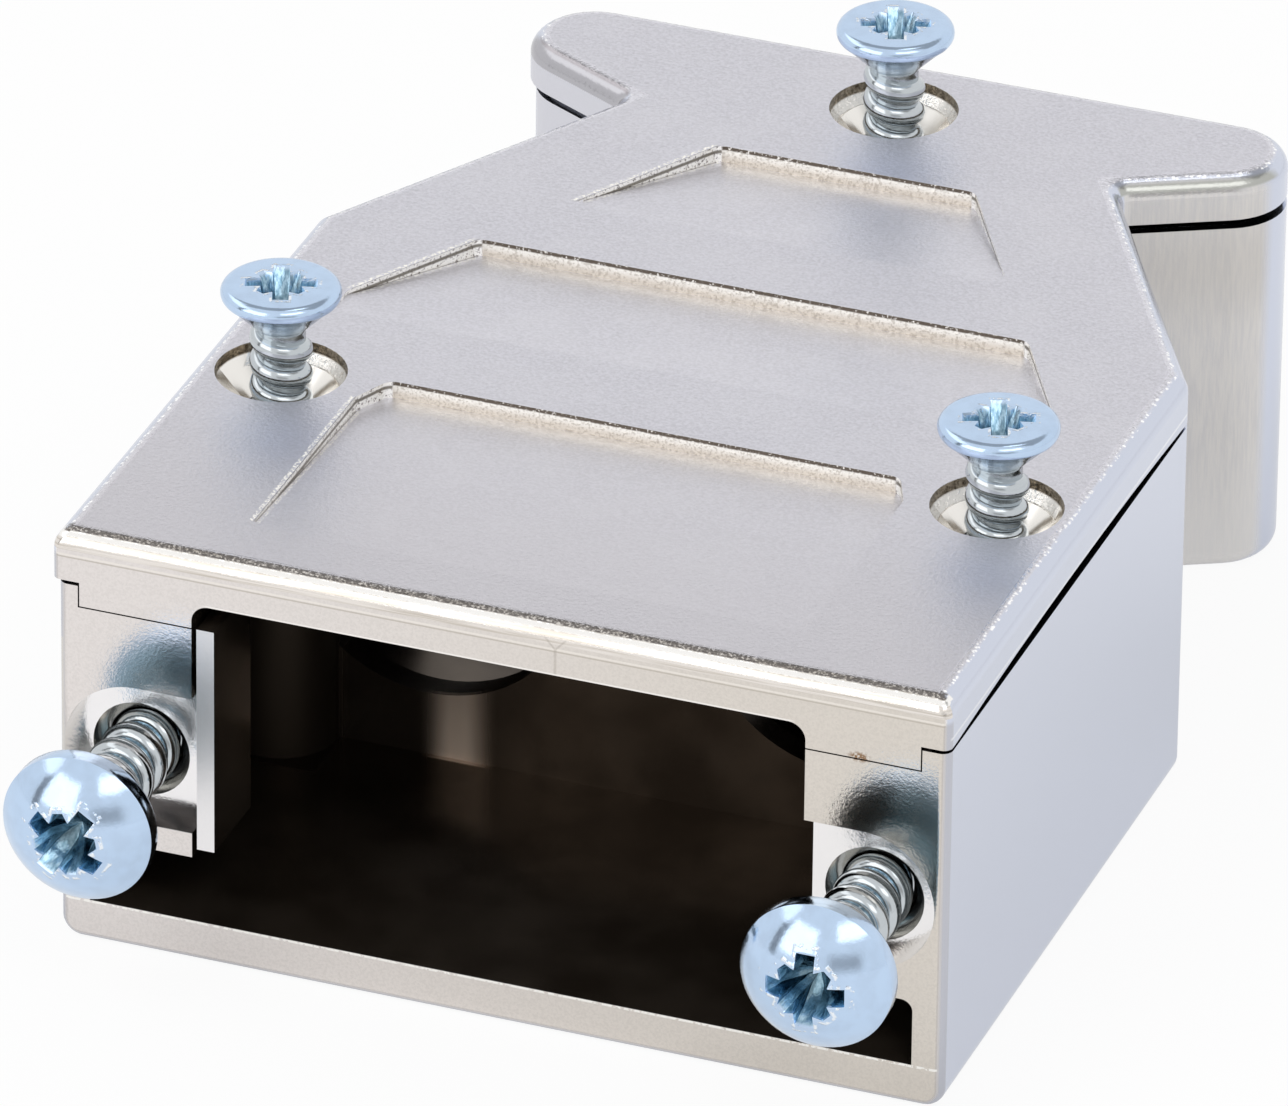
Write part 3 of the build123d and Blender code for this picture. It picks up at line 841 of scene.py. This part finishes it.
def recess_outline(span, wing, core, lobe):
    """Outline of the cross recess: four wings and a broad lobe in each corner between them."""
    quarter = [
        (span, -wing),
        (span, wing),
        (core + 0.12 * wing, wing),
        (lobe, lobe - 0.75 * wing),
        (lobe - 0.75 * wing, lobe),
        (wing, core + 0.12 * wing),
    ]
    points = []
    for turn in range(4):
        c, s = cos(turn * pi / 2), sin(turn * pi / 2)
        points += [(c * x - s * y, s * x + c * y) for x, y in quarter]
    return points


def recess_cutter(recess):
    """Solid that cuts the recess: it narrows from above the head down to a point."""
    shape = bmesh.new()
    levels = ((0.15, 1.03, 1.0), (-0.62, 0.66, 0.82), (-0.9, 0.3, 0.6))
    rings = []
    for height, reach, width in levels:
        outline = recess_outline(
            recess.span * reach,
            recess.wing * width,
            recess.core * (reach + width) / 2,
            recess.lobe * reach,
        )
        level = recess.top + height * recess.depth
        rings.append([shape.verts.new((x, y, level)) for x, y in outline])
    tip = shape.verts.new((0, 0, recess.top - recess.depth))
    count = len(rings[0])
    shape.faces.new(rings[0])
    for upper, lower in zip(rings, rings[1:]):
        for i in range(count):
            j = (i + 1) % count
            shape.faces.new((upper[i], lower[i], lower[j], upper[j]))
    for i in range(count):
        shape.faces.new((rings[-1][i], tip, rings[-1][(i + 1) % count]))
    bmesh.ops.recalc_face_normals(shape, faces=shape.faces)
    return shape


def as_object(shape, name):
    """Object of the scene that holds the given shape."""
    mesh = bpy.data.meshes.new(name)
    shape.to_mesh(mesh)
    shape.free()
    made = bpy.data.objects.new(name, mesh)
    bpy.context.scene.collection.objects.link(made)
    return made


def evaluated_mesh(made, name):
    """Plain mesh of an object with its modifiers applied."""
    bpy.context.view_layer.update()
    depsgraph = bpy.context.evaluated_depsgraph_get()
    mesh = bpy.data.meshes.new_from_object(made.evaluated_get(depsgraph))
    mesh.name = name
    return mesh


def blank_screw(name, profile, recess):
    """Screw without its thread: turned body with the cross recess cut into its head."""
    body = as_object(turned(profile, 72), name)
    cutter = as_object(recess_cutter(recess), f"{name}_cutter")
    cut = body.modifiers.new("recess", "BOOLEAN")
    cut.operation = "DIFFERENCE"
    cut.object = cutter
    cut.solver = "EXACT"
    soften = body.modifiers.new("soft_edges", "BEVEL")
    soften.width = 0.025 * MM
    soften.segments = 2
    soften.limit_method = "ANGLE"
    soften.angle_limit = radians(38)
    mesh = evaluated_mesh(body, name)
    body.modifiers.clear()
    body.data = mesh
    bpy.data.objects.remove(cutter)
    for face in mesh.polygons:
        face.use_smooth = True
    mesh.set_sharp_from_angle(angle=radians(32))
    return body


class GeometryTree:
    """A Geometry Nodes tree with named inputs, which ends in real geometry with one material."""

    def __init__(self, name):
        self.tree = bpy.data.node_groups.new(name, "GeometryNodeTree")
        self.tree.interface.new_socket("Geometry", in_out="INPUT", socket_type="NodeSocketGeometry")
        self.tree.interface.new_socket("Geometry", in_out="OUTPUT", socket_type="NodeSocketGeometry")
        self.sockets = {}
        self.start = self.tree.nodes.new("NodeGroupInput")

    def value(self, name, kind="NodeSocketFloat"):
        """Named input of the tree."""
        socket = self.tree.interface.new_socket(name, in_out="INPUT", socket_type=kind)
        self.sockets[name] = socket.identifier
        return self.start.outputs[name]

    def node(self, kind, settings=None, inputs=None):
        made = self.tree.nodes.new(kind)
        for name, value in (settings or {}).items():
            setattr(made, name, value)
        for key, value in (inputs or {}).items():
            for source in value if isinstance(value, list) else [value]:
                if isinstance(source, bpy.types.NodeSocket):
                    self.tree.links.new(source, made.inputs[key])
                else:
                    made.inputs[key].default_value = source
        return made.outputs[0]

    def math(self, operation, *values):
        return self.node("ShaderNodeMath", {"operation": operation}, dict(enumerate(values)))

    def end(self, geometry, material):
        real = self.node("GeometryNodeRealizeInstances", None, {0: geometry})
        painted = self.node("GeometryNodeSetMaterial", None, {"Geometry": real, "Material": material})
        output = self.tree.nodes.new("NodeGroupOutput")
        self.tree.links.new(painted, output.inputs["Geometry"])


def thread_tree():
    """Adds a helical thread to a blank screw: a rounded ridge swept down the shank."""
    made = GeometryTree("screw_thread")
    root = made.value("Root radius")
    crest = made.value("Crest radius")
    pitch = made.value("Pitch")
    length = made.value("Length")
    start = made.value("Start height")
    width = made.value("Ridge width")
    material = made.value("Material", "NodeSocketMaterial")
    turns = made.math("DIVIDE", length, pitch)
    spiral = {"Rotations": turns, "Start Radius": root, "End Radius": root, "Height": length}
    helix = made.node("GeometryNodeCurveSpiral", None, {"Resolution": 40, **spiral})
    low = made.math("SUBTRACT", start, length)
    drop = made.node("ShaderNodeCombineXYZ", None, {2: low})
    helix = made.node("GeometryNodeTransform", None, {"Geometry": helix, "Translation": drop})
    helix = made.node("GeometryNodeSetCurveNormal", {"mode": "Z_UP"}, {"Curve": helix})
    ridge = made.math("SUBTRACT", crest, root)
    scale = made.node("ShaderNodeCombineXYZ", None, {0: ridge, 1: width, 2: 1.0})
    section = made.node("GeometryNodeCurvePrimitiveCircle", None, {"Resolution": 10, "Radius": 1.0})
    section = made.node("GeometryNodeTransform", None, {"Geometry": section, "Scale": scale})
    swept = {"Curve": helix, "Profile Curve": section, "Fill Caps": True}
    ridge_mesh = made.node("GeometryNodeCurveToMesh", None, swept)
    joined = made.node("GeometryNodeJoinGeometry", None, {0: [made.start.outputs[0], ridge_mesh]})
    made.end(joined, material)
    return made


def mark_recess(mesh, profile, recess):
    """Stores each vertex's depth in the recess, whether it is head, and its place in spans of the recess."""
    radius = max(reach for reach, height in profile)
    surface = profile[: [reach for reach, height in profile].index(radius) + 1]
    places, depths, heads = [], [], []
    for vertex in mesh.vertices:
        across, along, height = vertex.co
        reach = (across**2 + along**2) ** 0.5
        after = next((i for i, point in enumerate(surface) if point[0] > reach), None)
        depth = 0.0
        if after and height > -0.95 * MM and reach < 0.8 * (radius + min(height, 0.0)):
            (r0, h0), (r1, h1) = surface[after - 1], surface[after]
            depth = max(h0 + (h1 - h0) * (reach - r0) / (r1 - r0) - height, 0.0)
        places.extend(value / recess.span for value in vertex.co)
        depths.append(depth / MM)
        heads.append(1.0 if height > -0.3 * MM else 0.0)
    mesh.attributes.new("seat_place", "FLOAT_VECTOR", "POINT").data.foreach_set("vector", places)
    mesh.attributes.new("recess_depth", "FLOAT", "POINT").data.foreach_set("value", depths)
    mesh.attributes.new("head_top", "FLOAT", "POINT").data.foreach_set("value", heads)


def threaded_screw(tree, blank, name, sizes, placing, profile, recess):
    """Finished screw: the blank with its thread, as one plain mesh in its place."""
    made = bpy.data.objects.new(name, blank.data.copy())
    bpy.context.scene.collection.objects.link(made)
    thread = made.modifiers.new("thread", "NODES")
    thread.node_group = tree.tree
    for label, value in sizes.items():
        thread[tree.sockets[label]] = value
    mesh = evaluated_mesh(made, name)
    made.modifiers.clear()
    mark_recess(mesh, profile, recess)
    mesh.transform(placing)
    made.data = mesh
    if not mesh.materials or mesh.materials[0] != sizes["Material"]:
        mesh.materials.clear()
        mesh.materials.append(sizes["Material"])
    return made


def make_screws(bodies, blank_name, profile, recess, sizes, placing):
    """Like screws cut from one blank, each on its body in place of its CAD node."""
    material = bpy.data.materials.get(ZINC_FINISH)
    if material is None:
        raise RuntimeError("The zinc finish has to be made before the screws")
    blank = blank_screw(blank_name, profile, recess)
    tree = thread_tree()
    sizes = {**sizes, "Material": material}
    for body, node in bodies.items():
        place = placing(body, node)
        made = threaded_screw(tree, blank, f"{body}_detailed", sizes, place, profile, recess)
        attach(made, body)
        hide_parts(node)
    bpy.data.objects.remove(blank)


def thread_sizes(crest_diameter, pitch, root, length, start, ridge_width):
    """Inputs of the thread's tree. The crest and the pitch come in metres, the rest in millimetres."""
    return {
        "Root radius": (root - THREAD_BITE) * MM,
        "Crest radius": crest_diameter / 2,
        "Pitch": pitch,
        "Length": (length - start - THREAD_END) * MM,
        "Start height": -start * MM,
        "Ridge width": ridge_width * MM,
    }


def shank_profile(root, length):
    """Lower end of a screw's profile, down to its blunt point."""
    near_tip = (0.3 * root, 0.1 * SCREW_POINT - length)
    return [(root, SCREW_POINT - length), near_tip, (0.0, -length)]


def raised_head_profile(radius, height, root, length):
    """Profile of a raised countersunk screw with a rounded rim, seated at height 0."""
    edge = 0.3
    middle = 0.41 * edge
    cone = radius - root
    profile = dome(radius - edge, height - middle - edge, middle + edge, 10)
    profile += arc((radius - edge, middle), edge, 80, -40, 8)
    profile += [(radius - 0.12, -0.09), (root + 0.08, -cone + 0.11), (root, -cone - 0.03)]
    profile += shank_profile(root, length)
    return [(r * MM, h * MM) for r, h in profile]


def pan_head_profile(radius, rim, height, root, length):
    """Profile of a pan-head screw, seated at height 0."""
    profile = dome(radius - 0.04, height - rim, rim, 16)
    profile += [(radius, rim - 0.05), (radius, 0.12), (radius - 0.04, 0.03), (radius - 0.12, 0.0)]
    profile += [(root + 0.1, 0.0), (root, -0.1)]
    profile += shank_profile(root, length)
    return [(r * MM, h * MM) for r, h in profile]


def cover_screw_place(body, node):
    """Where a cover screw stands: its seat, with its recess turned as photographed."""
    low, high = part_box(node)
    head_height = COVER_HEAD_HEIGHT * MM
    seat = Vector(((low.x + high.x) / 2, (low.y + high.y) / 2, high.z - head_height))
    return Matrix.Translation(seat) @ Matrix.Rotation(COVER_SCREW_TURN, 4, "Z")


def connector_screw_place(body, node):
    """Where a connector screw stands: its seat, facing forward, with its recess turned as photographed."""
    low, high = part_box(node)
    head_height = PAN_HEAD_HEIGHT * MM
    seat = Vector(((low.x + high.x) / 2, low.y + head_height, (low.z + high.z) / 2))
    facing = Matrix.Rotation(pi / 2, 4, "X")
    return Matrix.Translation(seat) @ facing @ Matrix.Rotation(CONNECTOR_SCREW_TURNS[body], 4, "Z")


class HOOD_OT_cover_screws(bpy.types.Operator):
    """Make the three raised countersunk screws that hold the cover"""

    bl_idname = "hood.cover_screws"
    bl_label = "Make the cover screws"

    def execute(self, context):
        screws = context.scene.hood_screws
        low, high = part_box("cover_screw_left")
        root = COVER_SCREW_ROOT
        length = (high.z - low.z) / MM - COVER_HEAD_HEIGHT
        head_radius = (high.x - low.x) / 2 / MM
        profile = raised_head_profile(head_radius, COVER_HEAD_HEIGHT, root, length)
        recess = Recess(COVER_HEAD_HEIGHT * MM, *(size * MM for size in COVER_RECESS))
        settings = (screws.cover_thread, screws.cover_pitch)
        sizes = thread_sizes(*settings, root, length, COVER_THREAD_START, COVER_RIDGE_WIDTH)
        make_screws(COVER_SCREWS, "cover_screw_blank", profile, recess, sizes, cover_screw_place)
        return {"FINISHED"}


class HOOD_OT_connector_screws(bpy.types.Operator):
    """Make the two pan-head screws that hold the connector"""

    bl_idname = "hood.connector_screws"
    bl_label = "Make the connector screws"

    def execute(self, context):
        screws = context.scene.hood_screws
        low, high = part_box("connector_screw_left")
        root = CONNECTOR_SCREW_ROOT
        length = (high.y - low.y) / MM - PAN_HEAD_HEIGHT
        head_radius = (high.x - low.x) / 2 / MM
        profile = pan_head_profile(head_radius, PAN_HEAD_RIM, PAN_HEAD_HEIGHT, root, length)
        recess = Recess(PAN_HEAD_HEIGHT * MM, *(size * MM for size in CONNECTOR_RECESS))
        settings = (screws.connector_thread, screws.connector_pitch)
        sizes = thread_sizes(*settings, root, length, CONNECTOR_THREAD_START, CONNECTOR_RIDGE_WIDTH)
        name = "connector_screw_blank"
        make_screws(CONNECTOR_SCREWS, name, profile, recess, sizes, connector_screw_place)
        return {"FINISHED"}


class HOOD_OT_plating(bpy.types.Operator):
    """Make the screws' zinc finish"""

    bl_idname = "hood.plating"
    bl_label = "Make the zinc finish"

    def execute(self, context):
        zinc_plated_steel(context.scene.hood_screws)
        return {"FINISHED"}


CAMERA_PLACE = Vector((0.15949, -0.44090, 0.26903))
CAMERA_RIGHT = Vector((0.93650, 0.35049, 0.01060))
CAMERA_UP = Vector((-0.17988, 0.45424, 0.87252))
CAMERA_FORWARD = Vector((-0.30100, 0.81903, -0.48845))


def area_lamp(name, place, size, power):
    """Square soft lamp that points at the hood and isn't mirrored in the metal."""
    lamp = bpy.data.lights.new(name, "AREA")
    lamp.size = size
    lamp.energy = power
    made = bpy.data.objects.new(name, lamp)
    made.location = place
    made.rotation_euler = (-Vector(place)).to_track_quat("-Z", "Y").to_euler()
    made.visible_glossy = False
    bpy.context.scene.collection.objects.link(made)


def studio_world(daylight):
    """Even daylight on a white ground. Polished metal mirrors soft boxes and the room's darker parts."""
    world = bpy.data.worlds.new("studio")
    shader = Shader(world)
    across, away, up = shader.parts(shader.node("ShaderNodeTexCoord"))
    bearing = shader.node("ShaderNodeMath", {"operation": "ARCTAN2"}, {0: across, 1: -away})

    def patch(low_bearing, high_bearing, low, high, soft):
        sideways = shader.band(bearing, radians(low_bearing), radians(high_bearing), soft)
        return sideways * shader.band(up, low, high, soft)

    mirrored = shader.blend(shader.step(up, 0.62, 0.72) * shader.step(away, 0.0, 0.1), 0.92, 0.45)
    mirrored = shader.blend(patch(12, 50, 0.06, 0.36, 0.12), mirrored, 0.5)
    mirrored = shader.blend(patch(-64, -55, 0.0, 0.6, 0.03), mirrored, 0.3)
    mirrored = shader.blend(patch(-52, -8, 0.17, 0.72, 0.04), mirrored, 1.8)
    mirrored = shader.blend(patch(22, 72, 0.6, 0.84, 0.04), mirrored, 1.9)
    mirrored = shader.blend(patch(-125, -60, 0.55, 0.8, 0.05), mirrored, 1.5)
    mirrored = shader.blend(patch(135, 178, 0.92, 0.995, 0.03), mirrored, 1.9)
    path = shader.node("ShaderNodeLightPath")
    glossy = Wire(shader, path.socket.node.outputs["Is Glossy Ray"])
    bent = Wire(shader, path.socket.node.outputs["Is Transmission Ray"])
    strength = shader.blend(glossy, daylight, mirrored)
    strength = shader.blend(path.most(bent), strength, 1.0)
    white = shader.node("ShaderNodeBackground", None, {"Color": (1, 1, 1, 1), "Strength": strength})
    shader.end("ShaderNodeOutputWorld", white)
    bpy.context.scene.world = world


def studio_floor():
    """Plain pale floor that keeps a faint shadow."""
    shape = bmesh.new()
    below = Matrix.Translation((0.0, 0.0, -0.02 * MM))
    bmesh.ops.create_grid(shape, x_segments=1, y_segments=1, size=2.0, matrix=below)
    floor = as_object(shape, "studio_floor")
    shader = Shader(bpy.data.materials.new("studio_floor"))
    matte = shader.node("ShaderNodeBsdfDiffuse", None, {"Color": (0.75, 0.75, 0.75, 1.0)})
    glow = shader.node("ShaderNodeEmission", None, {"Color": (1, 1, 1, 1), "Strength": 1.0})
    path = shader.node("ShaderNodeLightPath")
    glossy = Wire(shader, path.socket.node.outputs["Is Glossy Ray"])
    bent = Wire(shader, path.socket.node.outputs["Is Transmission Ray"])
    plain = (path * 0.92).most(glossy * 0.4).most(bent)
    surface = shader.node("ShaderNodeMixShader", None, {0: plain, 1: matte, 2: glow})
    floor.data.materials.append(shader.end("ShaderNodeOutputMaterial", surface))


class HOOD_OT_stage(bpy.types.Operator):
    """Set the floor, the lights and the camera"""

    bl_idname = "hood.stage"
    bl_label = "Set the stage"

    def execute(self, context):
        settings = context.scene.hood_studio
        studio_world(settings.daylight)
        studio_floor()
        area_lamp("lamp_front_left", (-0.25, -0.35, 0.5), 0.35, 1.6)
        area_lamp("lamp_right", (0.3, -0.35, 0.5), 0.2, 0.9)
        lens = bpy.data.cameras.new("camera")
        lens.sensor_width = 36.0
        lens.lens = settings.lens
        lens.clip_start = 0.01
        lens.clip_end = 10.0
        camera = bpy.data.objects.new("camera", lens)
        axes = Matrix((CAMERA_RIGHT, CAMERA_UP, -CAMERA_FORWARD)).transposed().to_4x4()
        camera.matrix_world = Matrix.Translation(CAMERA_PLACE) @ axes
        context.scene.collection.objects.link(camera)
        context.scene.camera = camera
        context.scene.view_settings.view_transform = "Standard"
        return {"FINISHED"}


class HOOD_PT_panel(bpy.types.Panel):
    """Steps that build the hood's looks"""

    bl_idname = "HOOD_PT_panel"
    bl_label = "Connector hood"
    bl_space_type = "VIEW_3D"
    bl_region_type = "UI"
    bl_category = "Hood"

    def draw(self, context):
        for step in STEPS:
            self.layout.operator(step.bl_idname)


SETTINGS = {
    "hood_finish": HoodFinishSettings,
    "hood_screws": ScrewSettings,
    "hood_studio": StudioSettings,
}
STEPS = (
    HOOD_OT_castings,
    HOOD_OT_plating,
    HOOD_OT_cover_screws,
    HOOD_OT_connector_screws,
    HOOD_OT_stage,
)


def register():
    for cls in (*SETTINGS.values(), *STEPS, HOOD_PT_panel):
        bpy.utils.register_class(cls)
    for name, cls in SETTINGS.items():
        setattr(bpy.types.Scene, name, bpy.props.PointerProperty(type=cls))


def unregister():
    for name in SETTINGS:
        delattr(bpy.types.Scene, name)
    for cls in (HOOD_PT_panel, *reversed(STEPS), *SETTINGS.values()):
        bpy.utils.unregister_class(cls)


def main():
    register()
    bpy.ops.hood.castings()
    bpy.ops.hood.plating()
    bpy.ops.hood.cover_screws()
    bpy.ops.hood.connector_screws()
    bpy.ops.hood.stage()
    bpy.context.view_layer.update()


if __name__ == "__main__":
    main()
